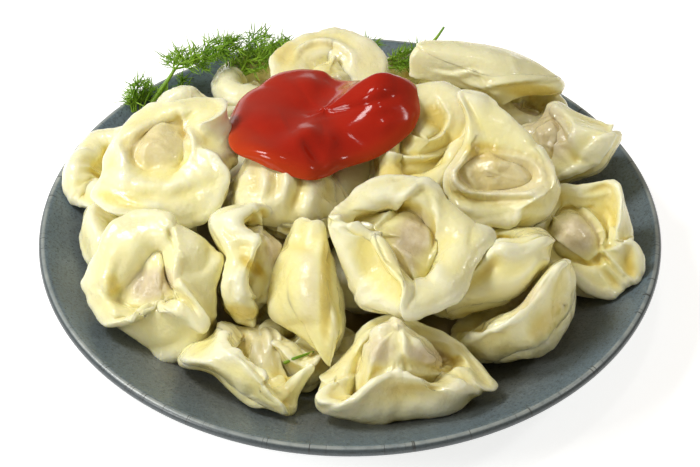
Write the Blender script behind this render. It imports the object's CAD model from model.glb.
"""The looks of a plate of boiled pelmeni with tomato ketchup and sprigs of dill.

Each pelmen is drawn again as a fine skin over its own solid. The skin follows the rule that gave
the solid its form, with the solid's corners as its guide, and then takes the folds, wrinkles and
lumps of filling that boiled dough has. Pulls then move its outline to where the photo has it, and
strokes raise or sink it along the folds and creases that the photo shows.
"""

import math
from typing import NamedTuple

import bmesh
import bpy
import numpy as np
from mathutils import Matrix, Vector, noise
from mathutils.bvhtree import BVHTree


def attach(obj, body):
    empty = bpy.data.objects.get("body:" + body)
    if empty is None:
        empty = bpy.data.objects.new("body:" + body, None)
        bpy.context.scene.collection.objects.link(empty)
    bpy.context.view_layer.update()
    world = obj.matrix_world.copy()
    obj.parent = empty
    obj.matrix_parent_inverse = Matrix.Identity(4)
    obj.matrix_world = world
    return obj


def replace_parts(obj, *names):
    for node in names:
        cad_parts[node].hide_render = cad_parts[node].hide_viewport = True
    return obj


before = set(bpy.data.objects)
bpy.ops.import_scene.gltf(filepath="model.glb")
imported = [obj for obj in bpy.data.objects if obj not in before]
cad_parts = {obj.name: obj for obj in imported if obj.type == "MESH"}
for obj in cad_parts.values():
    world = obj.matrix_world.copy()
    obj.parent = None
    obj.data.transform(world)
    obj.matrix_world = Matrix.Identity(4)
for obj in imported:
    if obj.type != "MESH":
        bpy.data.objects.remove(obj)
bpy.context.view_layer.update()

MM = 0.001

# --- The photo's camera, which pulls, strokes and patches are placed by ---
PHOTO_WIDE, PHOTO_HIGH = 700, 467
SENSOR = 36
LENS = 93.8
CAMERA_PLACE = np.array((0, -0.4207, 0.3916))
CAMERA_DOWN = math.radians(41.8)
PIXELS = LENS / SENSOR * PHOTO_WIDE
AHEAD = np.array((0, math.cos(CAMERA_DOWN), -math.sin(CAMERA_DOWN)))
UPWARD = np.array((0, math.sin(CAMERA_DOWN), math.cos(CAMERA_DOWN)))
RIGHTWARD = np.array((1, 0, 0))


def pixels_of(points):
    """Where points appear in the photo."""
    offset = points - CAMERA_PLACE
    depth = offset @ AHEAD
    return np.stack([PHOTO_WIDE / 2 + PIXELS * offset[:, 0] / depth,
                     PHOTO_HIGH / 2 - PIXELS * (offset @ UPWARD) / depth], axis=1)


def sight(pixel):
    """Direction from the camera through a pixel."""
    across = (pixel[0] - PHOTO_WIDE / 2) / PIXELS
    high = (PHOTO_HIGH / 2 - pixel[1]) / PIXELS
    return Vector(AHEAD + across * RIGHTWARD + high * UPWARD).normalized()


# --- A pelmen's form: lengths are shares of its own radius ---
FLAP_TAPER = 1.8
FLAP_EDGE = 0.17
FLAP_BULGE = 0.10
WAVES = (2, 3, 5)
WAVE_FLARE = 5
WAVE_REACH = 0.02
SEAM_WIDTH = 20
SEAM_PINCH = 22
SEAM_NOTCH = 0.12
WOBBLE = 0.05
WOBBLE_GRAIN = 0.8
WOBBLE_SEED = 1795525799
COLUMNS = 17
HIDDEN_COLUMNS = 10

# Stations along the section, from the pole under the ball, 0, to the pole on top of it, 1.
ROOT_OUTSIDE = 0.26
EDGE_OUTSIDE = 0.46
EDGE_INSIDE = 1 - EDGE_OUTSIDE
ROOT_INSIDE = 1 - ROOT_OUTSIDE
EDGE = 0.50
STATIONS = (0.10, 0.18, ROOT_OUTSIDE, 0.36, EDGE_OUTSIDE, EDGE, EDGE_INSIDE, 0.64, ROOT_INSIDE,
            0.82, 0.91)


class Fold(NamedTuple):
    """A stretch of flap that departs from the rest: angles in degrees, reach a share."""

    at: float
    width: float
    flare: float = 0
    curl: float = 0
    reach: float = 0


class Pelmen(NamedTuple):
    """Where a pelmen lies and how its flap stands, in millimetres and degrees.

    Angles run anticlockwise from the right, seen from above. The flap opens along an axis that
    leans from straight up towards one side. The rest are shares of the radius: the reach of the
    flap, the radius and thickness of its root, how high the filling stands inside it and how deep
    it hangs under it. Oval is how many times as long the pelmen is, and along what angle.
    """

    place: tuple
    radius: float
    lean: tuple = (0, 0)
    seam: float = 0
    flare: float = 36
    curl: float = 48
    reach: float = 0.42
    root: tuple = (0.61, 0.36)
    fill: float = 0.20
    depth: float = 0.50
    oval: tuple = (1, 0)
    columns: int = COLUMNS
    folds: tuple = ()


BRIM = (0.64, 0.26)

PELMENI = (
    # Front, from the left to the right.
    Pelmen((-53, -31, 22), 24, (-105, 42), 310, 34, 45, folds=(
        Fold(262, 36, -45, -110, 0.15), Fold(5, 42, -30, -90, 0.12))),
    Pelmen((-32, -26, 25), 18.5, (-15, 80), 90, 50, -40, 0.40, BRIM, 0.95),
    Pelmen((-31, -58, 13), 17.5, (45, 35), 315, 35, -30, 0.60, fill=0.1, oval=(1.45, -45)),
    Pelmen((-11, -47, 10), 14, (60, 20), 90, 60, -40, 0.50, BRIM, 0.50),
    Pelmen((-11, -36, 25), 18, (-150, 58), 60, 70, -15, 0.40, (0.74, 0.24), 0.38, 0.45, (1.40, 90)),
    Pelmen((15, -34, 37), 24, (-90, 22), 178, 30, 55, 0.46, (0.62, 0.34), 0.15, folds=(
        Fold(140, 30, -15, -30), Fold(222, 34, -45, -110, 0.14), Fold(8, 12, 10, 20, 0.08))),
    Pelmen((11, -64, 13), 20, (-90, 5), 180, 70, -50, 0.50, BRIM, 0.95, 0.45, (1.28, 0), folds=(
        Fold(270, 42, -42, -15, 0.28), Fold(0, 25, 0, 20, 0.15))),
    Pelmen((36, -28, 21), 22, (120, 35), 200, 50, 0),
    Pelmen((52, -43, 15), 20, (140, 38), 20, 44, -10, 0.50, fill=0.10),
    Pelmen((68, -12, 20), 19, (-110, 35), 80, 60, -40, 0.50, BRIM, 0.50, folds=(
        Fold(150, 25, -20, -40), Fold(330, 25, 10, 30), Fold(20, 25, -20, -40),
        Fold(250, 20, -20, -20))),
    # Middle, from the left to the right.
    Pelmen((-69, 20, 18), 21, (180, 20), 150),
    Pelmen((-62, -5, 15), 21, (180, 25), 60),
    Pelmen((-52, 6, 37), 23, (-100, 18), 100, 40, 35, fill=0.25, folds=(
        Fold(10, 45, -40, -80, 0.08), Fold(200, 50, 8, 10, 0.05))),
    Pelmen((-19, -3, 35), 22, (90, 175), 30, 70, -10, 0.35, (0.75, 0.25), 0, 0.60),
    Pelmen((25, 12, 38), 22, (-80, 25), 330, 36, 40, folds=(
        Fold(270, 30, -30, -70, 0.05), Fold(60, 30, 10, 20))),
    Pelmen((44, 4, 36), 21, (-105, 38), 250, 38, 40, fill=0.05, folds=(
        Fold(320, 45, -30, -60, 0.05), Fold(120, 30, 10, 20))),
    Pelmen((64, 28, 25), 21, (-150, 40), 10, 36, 30, oval=(1.25, 10)),
    # Back, from the left to the right.
    Pelmen((-43, 41, 27), 20, (-90, 20), 90),
    Pelmen((-6, 55, 32), 21, (-90, 15), 60, 50, 10, 0.45, BRIM, 0.60),
    Pelmen((25, 36, 29), 16, (-90, 30), 120),
    Pelmen((44, 52, 38), 19, (-90, 155), 0, 60, -50, oval=(1.45, -10)),
    Pelmen((-28, 66, 12), 19, (90, 20), 10),
    Pelmen((18, 66, 12), 19, (60, 15), 140),
    Pelmen((55, 51, 17), 17, (30, 20), 140),
    # Underneath, in the middle of the plate.
    Pelmen((-28, 22, 12), 19, columns=HIDDEN_COLUMNS),
    Pelmen((6, 28, 12), 19, columns=HIDDEN_COLUMNS),
    Pelmen((40, 18, 12), 19, columns=HIDDEN_COLUMNS),
    Pelmen((14, -16, 12), 19, columns=HIDDEN_COLUMNS),
    Pelmen((-6, 20, 31), 19, (-90, 10), columns=HIDDEN_COLUMNS),
)


def angles_round(columns):
    """The angles of evenly spaced columns, in degrees."""
    return np.arange(columns) * 360 / columns


def bell(angles, centre, width):
    """Bump of height 1 at an angle, in degrees, that dies away over its width."""
    apart = (angles - centre + 180) % 360 - 180
    return np.exp(-(apart / width) ** 2)


def flap_of(pelmen, seed, angles):
    """Flare, curl and reach of the flap at each angle round the pelmen."""
    seam = bell(angles, pelmen.seam, SEAM_WIDTH)
    flare = pelmen.flare - SEAM_PINCH * seam
    curl = pelmen.curl + 0 * angles
    reach = pelmen.reach * (1 - SEAM_NOTCH * seam)
    for fold in pelmen.folds:
        bump = bell(angles, fold.at, fold.width)
        flare = flare + fold.flare * bump
        curl = curl + fold.curl * bump
        reach = reach + fold.reach * bump
    for count in WAVES:
        wave = np.radians(count * angles) + count * (seed + 1) ** 2
        flare = flare + WAVE_FLARE * np.sin(wave)
        reach = reach + WAVE_REACH * np.cos(wave)
    return np.radians(flare), np.radians(curl), reach


def section(pelmen, station, flare, curl, reach):
    """Radius and height of one station, at every angle, as shares of the pelmen's radius."""
    root, thick = pelmen.root
    if station < ROOT_OUTSIDE:
        turn = math.pi / 2 * station / ROOT_OUTSIDE
        return (root + thick / 2) * math.sin(turn), -pelmen.depth * math.cos(turn)
    if station > ROOT_INSIDE:
        turn = math.pi / 2 * (1 - station) / (1 - ROOT_INSIDE)
        return (root - thick / 2) * math.sin(turn), pelmen.fill * math.cos(turn)
    outside = min(station, 1 - station)
    along = min((outside - ROOT_OUTSIDE) / (EDGE_OUTSIDE - ROOT_OUTSIDE), 1)
    length = reach * along * np.sinc(curl * along / math.tau)
    middle = flare + curl * along / 2
    end = flare + curl * along
    half = (FLAP_EDGE + (thick - FLAP_EDGE) * (1 - along ** FLAP_TAPER)) / 2
    half += FLAP_BULGE * thick * math.sin(math.pi * along)
    round_edge = math.pi * min(max((station - EDGE_OUTSIDE) / (EDGE_INSIDE - EDGE_OUTSIDE), 0), 1)
    across = half * math.cos(round_edge)
    beyond = half * math.sin(round_edge)
    radius = root + length * np.sin(middle) + across * np.cos(end) + beyond * np.sin(end)
    height = length * np.cos(middle) - across * np.sin(end) + beyond * np.cos(end)
    return radius, height


def axis_turn(lean):
    """Turn that tips the pelmen's axis from straight up towards a side."""
    towards = math.radians(lean[0])
    hinge = Vector((-math.sin(towards), math.cos(towards), 0))
    return np.array(Matrix.Rotation(math.radians(lean[1]), 3, hinge))


def free_rings(pelmen, seed, stations, angles):
    """Rings of a pelmen that nothing presses yet, as shares of its radius."""
    flap = flap_of(pelmen, seed, angles)
    turn = np.radians(angles)
    rings = []
    for station in stations:
        radius, height = section(pelmen, station, *flap)
        ring = [radius * np.cos(turn), radius * np.sin(turn), height + 0 * turn]
        rings.append(np.stack(ring, axis=1))
    return np.array(rings)


def free_form(pelmen, seed, stations, angles):
    """The pelmen in its place, in metres: a row of points for each station and for each pole."""
    coarse = free_rings(pelmen, seed, STATIONS, angles_round(pelmen.columns))
    widest = np.linalg.norm(coarse[:, :, :2], axis=2).max(axis=0).mean()
    points = free_rings(pelmen, seed, stations, angles)
    under = np.full((1, len(angles), 3), (0, 0, -pelmen.depth))
    over = np.full((1, len(angles), 3), (0, 0, pelmen.fill))
    points = np.concatenate([under, points, over])
    points[:, :, :2] /= widest
    stretch, along = pelmen.oval
    spin = np.array(Matrix.Rotation(math.radians(along), 3, "Z"))
    points = points @ spin @ np.diag([stretch, 1 / stretch, 1]) @ spin.T
    shift = Vector((seed * 3.7, seed * 1.9, 0))
    flat = points.reshape(-1, 3)
    wobble = [noise.noise_vector(Vector(point) / WOBBLE_GRAIN + shift) for point in flat]
    flat = flat + WOBBLE * np.array(wobble)
    placed = flat * pelmen.radius @ axis_turn(pelmen.lean).T + pelmen.place
    return (placed * MM).reshape(points.shape)


# --- Reading the solids ---
SAME_CORNER = 0.01 * MM


def corners_of(node):
    """The corners and triangles of a solid, with its loose triangles joined at their corners."""
    shape = bmesh.new()
    shape.from_mesh(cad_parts[node].data)
    bmesh.ops.remove_doubles(shape, verts=shape.verts, dist=SAME_CORNER)
    shape.verts.index_update()
    points = np.array([vertex.co for vertex in shape.verts])
    faces = [tuple(vertex.index for vertex in face.verts) for face in shape.faces]
    shape.free()
    return points, faces


def ring_beyond(third, before, ring):
    """The ring after one, from each edge's third corner; a few edges run the other way."""
    found = []
    for column, corner in enumerate(ring):
        edge = (ring[column - 1], corner)
        found.append(third[edge] if edge in third else third[ring[column - 1], before[column - 1]])
    if len(set(found)) == 1:
        return found
    return [third[one, ring[column]] if one == found[column - 1] else one
            for column, one in enumerate(found)]


def rings_of(faces, columns, pole):
    """Rows of corners of a solid made of rings, from one pole to the other."""
    third = {}
    for one, two, three in faces:
        third.update({(one, two): three, (two, three): one, (three, one): two})
    after = {end: side for (middle, side), end in third.items() if middle == pole}
    ring = [min(after)]
    while len(ring) < columns:
        ring.append(after[ring[-1]])
    rows = [[pole] * columns, ring]
    while len(set(rows[-1])) > 1:
        rows.append(ring_beyond(third, rows[-2], rows[-1]))
    return rows


def poles_of(faces, columns):
    """The two corners where as many triangles meet as there are columns."""
    counts = np.bincount(np.array(faces).ravel())
    return [int(corner) for corner in np.flatnonzero(counts == columns)]


def pressed_form(node, free):
    """The solid's corners, in the rows and columns of its free form."""
    points, faces = corners_of(node)
    columns = free.shape[1]
    found = []
    for pole in poles_of(faces, columns):
        rows = rings_of(faces, columns, pole)
        if len(rows) != len(free):
            continue
        grid = points[rows]
        for turn in range(columns):
            turned = np.roll(grid, turn, axis=1)
            found.append((float(((turned - free) ** 2).sum()), turn, pole, turned))
    return min(found, key=lambda one: one[:3])[3]


def smooth_between(knots, values, at):
    """Smooth curve through values at knots along the first axis, read at other places."""
    slope = np.gradient(values, knots, axis=0)
    first = np.clip(np.searchsorted(knots, at, side="right") - 1, 0, len(knots) - 2)
    span = (knots[first + 1] - knots[first])[:, None, None]
    share = ((at - knots[first]) / (knots[first + 1] - knots[first]))[:, None, None]
    low, high = values[first], values[first + 1]
    rise = 3 * share ** 2 - 2 * share ** 3
    return (low + (high - low) * rise + slope[first] * span * share * (1 - share) ** 2
            - slope[first + 1] * span * share ** 2 * (1 - share))


def refined(rows, row_knots, row_places, columns):
    """A coarse grid of points read at finer rows, and at finer columns that run round it."""
    finer = smooth_between(np.asarray(row_knots, float), rows, np.asarray(row_places, float))
    count = rows.shape[1]
    wrapped = np.concatenate([finer[:, -2:], finer, finer[:, :3]], axis=1).transpose(1, 0, 2)
    places = np.arange(columns) * count / columns
    return smooth_between(np.arange(-2, count + 3, dtype=float), wrapped, places).transpose(1, 0, 2)


# --- Finishes ---
def wire(tree, value, socket):
    """Put a link or a plain value on a socket."""
    if isinstance(value, Number):
        tree.links.new(value.socket, socket)
    elif isinstance(value, bpy.types.NodeSocket):
        tree.links.new(value, socket)
    elif isinstance(value, tuple) and socket.type == "RGBA":
        socket.default_value = (*value, 1)
    else:
        socket.default_value = value


def made(tree, kind, settings=(), values=(), output=0):
    """One output of a new node, after its settings and what its sockets hold."""
    node = tree.nodes.new(kind)
    for name, value in dict(settings).items():
        setattr(node, name, value)
    for name, value in dict(values).items():
        wire(tree, value, node.inputs[name])
    return node.outputs[output]


class Number:
    """A number that changes over a surface, which Python's operators work on."""

    def __init__(self, tree, socket):
        self.tree = tree
        self.socket = socket

    def maths(self, operation, *values, clamp=False):
        """What a Math node makes of some values."""
        settings = {"operation": operation, "use_clamp": clamp}
        found = made(self.tree, "ShaderNodeMath", settings, dict(enumerate(values)))
        return Number(self.tree, found)

    def __add__(self, other):
        return self.maths("ADD", self, other)

    def __radd__(self, other):
        return self.maths("ADD", other, self)

    def __sub__(self, other):
        return self.maths("SUBTRACT", self, other)

    def __rsub__(self, other):
        return self.maths("SUBTRACT", other, self)

    def __mul__(self, other):
        return self.maths("MULTIPLY", self, other)

    def __rmul__(self, other):
        return self.maths("MULTIPLY", other, self)

    def __truediv__(self, other):
        return self.maths("DIVIDE", self, other)

    def within(self, low, high):
        """0 under the low value, 1 over the high one, and even between them."""
        return self.maths("MULTIPLY", self - low, 1 / (high - low), clamp=True)


class Finish:
    """A material, built from its name and its shader's fixed values."""

    def __init__(self, name, **fixed):
        self.material = bpy.data.materials.new(name)
        self.material.use_nodes = True
        self.tree = self.material.node_tree
        self.shader = self.tree.nodes["Principled BSDF"]
        self.place = self.node("TexCoord", output="Object")
        for socket, value in fixed.items():
            wire(self.tree, value, self.shader.inputs[socket.replace("_", " ")])

    def node(self, kind, settings=(), values=(), output=0):
        """One output of a new shader node; a plain number comes as a Number."""
        socket = made(self.tree, "ShaderNode" + kind, settings, values, output)
        return Number(self.tree, socket) if socket.type == "VALUE" else socket

    def grain(self, size, detail=2, place=None, rough=0.5):
        """Noise with features of about a size in metres, from 0 to 1."""
        values = {"Vector": place or self.place, "Scale": 1 / size, "Detail": detail,
                  "Roughness": rough}
        return self.node("TexNoise", {}, values, "Fac")

    def cells(self, size):
        """Distance to the nearest of many scattered points, as a share of their spacing."""
        return self.node("TexVoronoi", {}, {"Vector": self.place, "Scale": 1 / size}, "Distance")

    def mark(self, name):
        """A number kept on the mesh's points."""
        return self.node("Attribute", {"attribute_name": name}, {}, "Fac")

    def mix(self, share, first, second):
        """A share of the second colour over the first."""
        return self.node("Mix", {"data_type": "RGBA"}, {0: share, 6: first, 7: second}, 2)

    def bump(self, height, depth, strength, under=None):
        """Relief of a depth in metres, on top of another one."""
        values = {"Height": height, "Distance": depth, "Strength": strength}
        if under:
            values["Normal"] = under
        return self.node("Bump", {}, values, "Normal")

    def set(self, **values):
        """The finished material, with what varies on the shader's sockets."""
        for socket, value in values.items():
            wire(self.tree, value, self.shader.inputs[socket.replace("_", " ")])
        return self.material


DOUGH_PALE = (0.91, 0.86, 0.46)
DOUGH_YELLOW = (0.89, 0.81, 0.32)
DOUGH_MILKY = (0.92, 0.90, 0.66)
DOUGH_UNDERSIDE = (0.85, 0.71, 0.22)
DOUGH_LIP = (0.91, 0.88, 0.60)
DOUGH_HOLLOW = (0.78, 0.60, 0.10)
DOUGH_CREST = (0.93, 0.92, 0.70)
FILLING_DARK = (0.60, 0.48, 0.33)
FILLING_LIGHT = (0.80, 0.70, 0.50)


def dough_finish():
    """Wet boiled dough, pale where it is thick and greyish pink where the filling shows through."""
    dough = Finish("dough", Subsurface_Weight=0.40, Subsurface_Radius=(1, 0.88, 0.40),
                   Subsurface_Scale=2.2 * MM, Coat_Roughness=0.06, Coat_IOR=1.38, IOR=1.42)
    meat = dough.mark("meat")
    lip = dough.mark("lip")
    deep = dough.mark("deep")
    under = dough.mark("under")
    broad = dough.grain(16 * MM, 2)
    mottle = dough.grain(3.5 * MM, 3)
    fine = dough.grain(0.7 * MM, 3)
    pale = dough.mix(broad.within(0.3, 0.7), DOUGH_PALE, DOUGH_YELLOW)
    pale = dough.mix(mottle.within(0.55, 0.8) * 0.35, pale, DOUGH_MILKY)
    pale = dough.mix(under * 0.6, pale, DOUGH_UNDERSIDE)
    pale = dough.mix(lip * 0.4, pale, DOUGH_LIP)
    pale = dough.mix((deep * 0.9).within(0, 1), pale, DOUGH_HOLLOW)
    pale = dough.mix((deep * -0.8).within(0, 1), pale, DOUGH_CREST)
    filling = dough.mix(mottle.within(0.35, 0.65), FILLING_DARK, FILLING_LIGHT)
    colour = dough.mix((meat * (0.55 + mottle * 0.7)).within(0.0, 1.05), pale, filling)
    wet = dough.grain(7 * MM, 2).within(0.42, 0.62)
    roughness = 0.28 - wet * 0.15 - meat * 0.06 + fine * 0.10
    films = dough.bump(dough.grain(4 * MM, 4, rough=0.6), 0.6 * MM, 0.5)
    crinkled = 0.30 + meat * 0.5 + wet * 0.4
    skin = dough.bump(dough.grain(1.4 * MM, 4), 0.3 * MM, crinkled, under=films)
    return dough.set(Base_Color=colour, Roughness=roughness, Coat_Weight=0.1 + wet * 0.4,
                     Normal=skin)


SAUCE_DARK = (0.36, 0.012, 0.005)
SAUCE_RED = (0.44, 0.020, 0.007)
SAUCE_THIN = (0.52, 0.055, 0.010)


def ketchup_finish():
    """Glossy ketchup, lighter round its thin edge."""
    sauce = Finish("tomato", Subsurface_Weight=0.12, Subsurface_Radius=(1, 0.2, 0.08),
                   Subsurface_Scale=2 * MM, Specular_IOR_Level=0.26)
    thin = sauce.mark("thin")
    broad = sauce.grain(9 * MM, 2)
    colour = sauce.mix(broad, SAUCE_DARK, SAUCE_RED)
    colour = sauce.mix(thin, colour, SAUCE_THIN)
    pulp = sauce.bump(sauce.grain(0.8 * MM, 3), 0.05 * MM, 0.3)
    return sauce.set(Base_Color=colour, Roughness=0.10 + broad * 0.05, Normal=pulp)


GLAZE_GREY = (0.145, 0.165, 0.168)
GLAZE_WARM = (0.165, 0.170, 0.152)
GLAZE_BLUE = (0.130, 0.185, 0.225)
GLAZE_DARK = (0.065, 0.072, 0.068)
GLAZE_LIGHT = (0.25, 0.28, 0.28)
GLAZE_SPECK = (0.030, 0.034, 0.034)
GLAZE_SIDE = (0.050, 0.056, 0.056)
GLAZE_WORN = (0.42, 0.45, 0.42)
GLAZE_CHIP = (0.04, 0.04, 0.038)
BROTH = (0.36, 0.26, 0.08)


def glaze_finish():
    """Blue-grey speckled stoneware glaze, worn pale along the rim, with broth under the heap."""
    glaze = Finish("glaze")
    flat = glaze.node("VectorMath", {"operation": "MULTIPLY"}, {0: glaze.place, 1: (1, 1, 0)})
    radius = glaze.node("VectorMath", {"operation": "LENGTH"}, {0: flat}, "Value")
    round_rim = glaze.node("VectorMath", {"operation": "NORMALIZE"}, {0: flat})
    height = glaze.node("SeparateXYZ", {}, {0: glaze.place}, 2)
    cloud = glaze.grain(30 * MM, 3)
    colour = glaze.mix(cloud.within(0.35, 0.65), GLAZE_GREY, GLAZE_WARM)
    outer = radius.within(76 * MM, 91 * MM) * (0.6 + cloud * 0.6)
    colour = glaze.mix(outer, colour, GLAZE_BLUE)
    mottle = glaze.grain(0.9 * MM, 3, rough=0.75)
    colour = glaze.mix(mottle.within(0.47, 0.62) * 0.55, colour, GLAZE_DARK)
    colour = glaze.mix((1 - mottle).within(0.56, 0.70) * 0.5, colour, GLAZE_LIGHT)
    size = glaze.grain(2.5 * MM, 1)
    dots = 1 - (glaze.cells(1.4 * MM) / (0.04 + size * 0.30)).within(0.5, 1.0)
    colour = glaze.mix(dots * 0.8, colour, GLAZE_SPECK)
    side = radius.within(94.0 * MM, 94.4 * MM)
    colour = glaze.mix(side * 0.7, colour, GLAZE_SIDE)
    crest = radius.within(92.9 * MM, 93.4 * MM) * height.within(21.2 * MM, 21.5 * MM) * (1 - side)
    worn = glaze.grain(0.06, 2, place=round_rim).within(0.3, 0.7)
    colour = glaze.mix(crest * (0.35 + worn * 0.5), colour, GLAZE_WORN)
    edge = radius.within(91.8 * MM, 92.6 * MM)
    chips = glaze.grain(0.009, 2, place=round_rim).within(0.63, 0.68)
    colour = glaze.mix(edge * chips * 0.8, colour, GLAZE_CHIP)
    broth = 1 - (radius + cloud * 8 * MM).within(48 * MM, 61 * MM)
    colour = glaze.mix(broth * 0.8, colour, BROTH)
    surface = glaze.bump(glaze.grain(2.5 * MM, 3), 0.10 * MM, 0.5)
    surface = glaze.bump(mottle, 0.10 * MM, 0.5, under=surface)
    return glaze.set(Base_Color=colour, Roughness=0.22 + mottle * 0.14, Normal=surface)


DILL_DARK = (0.15, 0.34, 0.015)
DILL_LIGHT = (0.34, 0.56, 0.04)


def dill_finish():
    """Fresh dill, darker and lighter in patches."""
    leaf = Finish("dill")
    tint = leaf.grain(6 * MM, 2).within(0.3, 0.7)
    colour = leaf.mix(tint, DILL_DARK, DILL_LIGHT)
    return leaf.set(Base_Color=colour, Roughness=0.38 + tint * 0.1)


CARD_GREY = (0.78, 0.78, 0.78)
CARD_WHITE = (0.80, 0.80, 0.80)


def floor_finish():
    """Matt white card."""
    card = Finish("card", Roughness=0.9, Emission_Strength=0.70)
    colour = card.mix(card.grain(0.3, 2), CARD_GREY, CARD_WHITE)
    return card.set(Base_Color=colour, Emission_Color=(1, 1, 1))


# --- Pieces ---
def add_piece(name, points, faces, finish, nodes, marks=()):
    """A smooth mesh that rides on the plate, with its marks kept on its points."""
    mesh = bpy.data.meshes.new(name)
    mesh.from_pydata([tuple(point) for point in points], [], faces)
    mesh.materials.append(finish)
    mesh.shade_smooth()
    for mark, values in dict(marks).items():
        kept = mesh.attributes.new(mark, "FLOAT", "POINT")
        kept.data.foreach_set("value", np.asarray(values, np.float32))
    piece = bpy.data.objects.new(name, mesh)
    bpy.context.scene.collection.objects.link(piece)
    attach(piece, "root")
    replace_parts(piece, *nodes)
    return piece


def closed(rows):
    """The rows of a grid as one list, and then its first and last row as one pole each."""
    inner = rows[1:-1].reshape(-1, *rows.shape[2:])
    return np.concatenate([inner, rows[0, :1], rows[-1, :1]])


def grid_faces(rows, columns):
    """Faces of a closed grid: quads between its rows, triangles to the pole under and over it."""
    faces = []
    for row in range(rows - 1):
        for column in range(columns):
            after = (column + 1) % columns
            low, high = row * columns, (row + 1) * columns
            faces.append((low + column, low + after, high + after, high + column))
    under, over, last = rows * columns, rows * columns + 1, (rows - 1) * columns
    for column in range(columns):
        after = (column + 1) % columns
        faces.append((under, after, column))
        faces.append((over, last + column, last + after))
    return faces


def grid_normals(grid):
    """Outward directions on a grid whose columns run round it."""
    along = np.gradient(grid, axis=0)
    across = np.roll(grid, -1, axis=1) - np.roll(grid, 1, axis=1)
    normal = np.cross(across, along)
    return normal / np.maximum(np.linalg.norm(normal, axis=2, keepdims=True), 1e-12)


def blurred(values, passes):
    """Values on a grid, each eased towards its neighbours a few times."""
    for _ in range(passes):
        inner = np.concatenate([values[:1], values[:-1]])
        outer = np.concatenate([values[1:], values[-1:]])
        values = (2 * values + inner + outer + np.roll(values, 1, 1) + np.roll(values, -1, 1)) / 6
    return values


def step_up(value, low, high):
    """Smooth rise from 0 at the low value to 1 at the high one."""
    share = np.clip((value - low) / (high - low), 0, 1)
    return share * share * (3 - 2 * share)


def step_down(value, low, high):
    """Smooth fall from 1 at the low value to 0 at the high one."""
    return step_up(-value, -high, -low)


def hump(value, middle, width):
    """Bump of height 1 at a value, that dies away over its width."""
    return np.exp(-((value - middle) / width) ** 2)


SPECKLE_FADE = 0.6
SPECKLE_STEP = 2.0


def speckle(grid, size, seed, octaves=2):
    """Fractal noise at each point of a grid, with features of about a size in metres."""
    shift = Vector((seed * 0.37, seed * 0.71, 0))
    flat = grid.reshape(-1, 3)
    found = [noise.fractal(Vector(point) / size + shift, SPECKLE_FADE, SPECKLE_STEP, octaves)
             for point in flat]
    return np.array(found).reshape(grid.shape[:2])


# --- What the photo shows of each pelmen, by its number; 0 is the ketchup ---
class Pull(NamedTuple):
    """A move across the photo, in pixels, that dies away over a distance."""

    start: tuple
    end: tuple
    reach: float


class Stroke(NamedTuple):
    """A line in the photo along which the dough stands proud or sinks.

    Its points are pixels, its width is in pixels and its height in millimetres. A ridge rises on
    both sides of the line. A lip rises towards it from the line's right and drops on its left.
    """

    kind: str
    width: float
    height: float
    points: tuple


class Patch(NamedTuple):
    """An ellipse in the photo, its middle and half size in pixels, and its share of something."""

    middle: tuple
    half: tuple
    turned: float
    share: float


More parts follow.
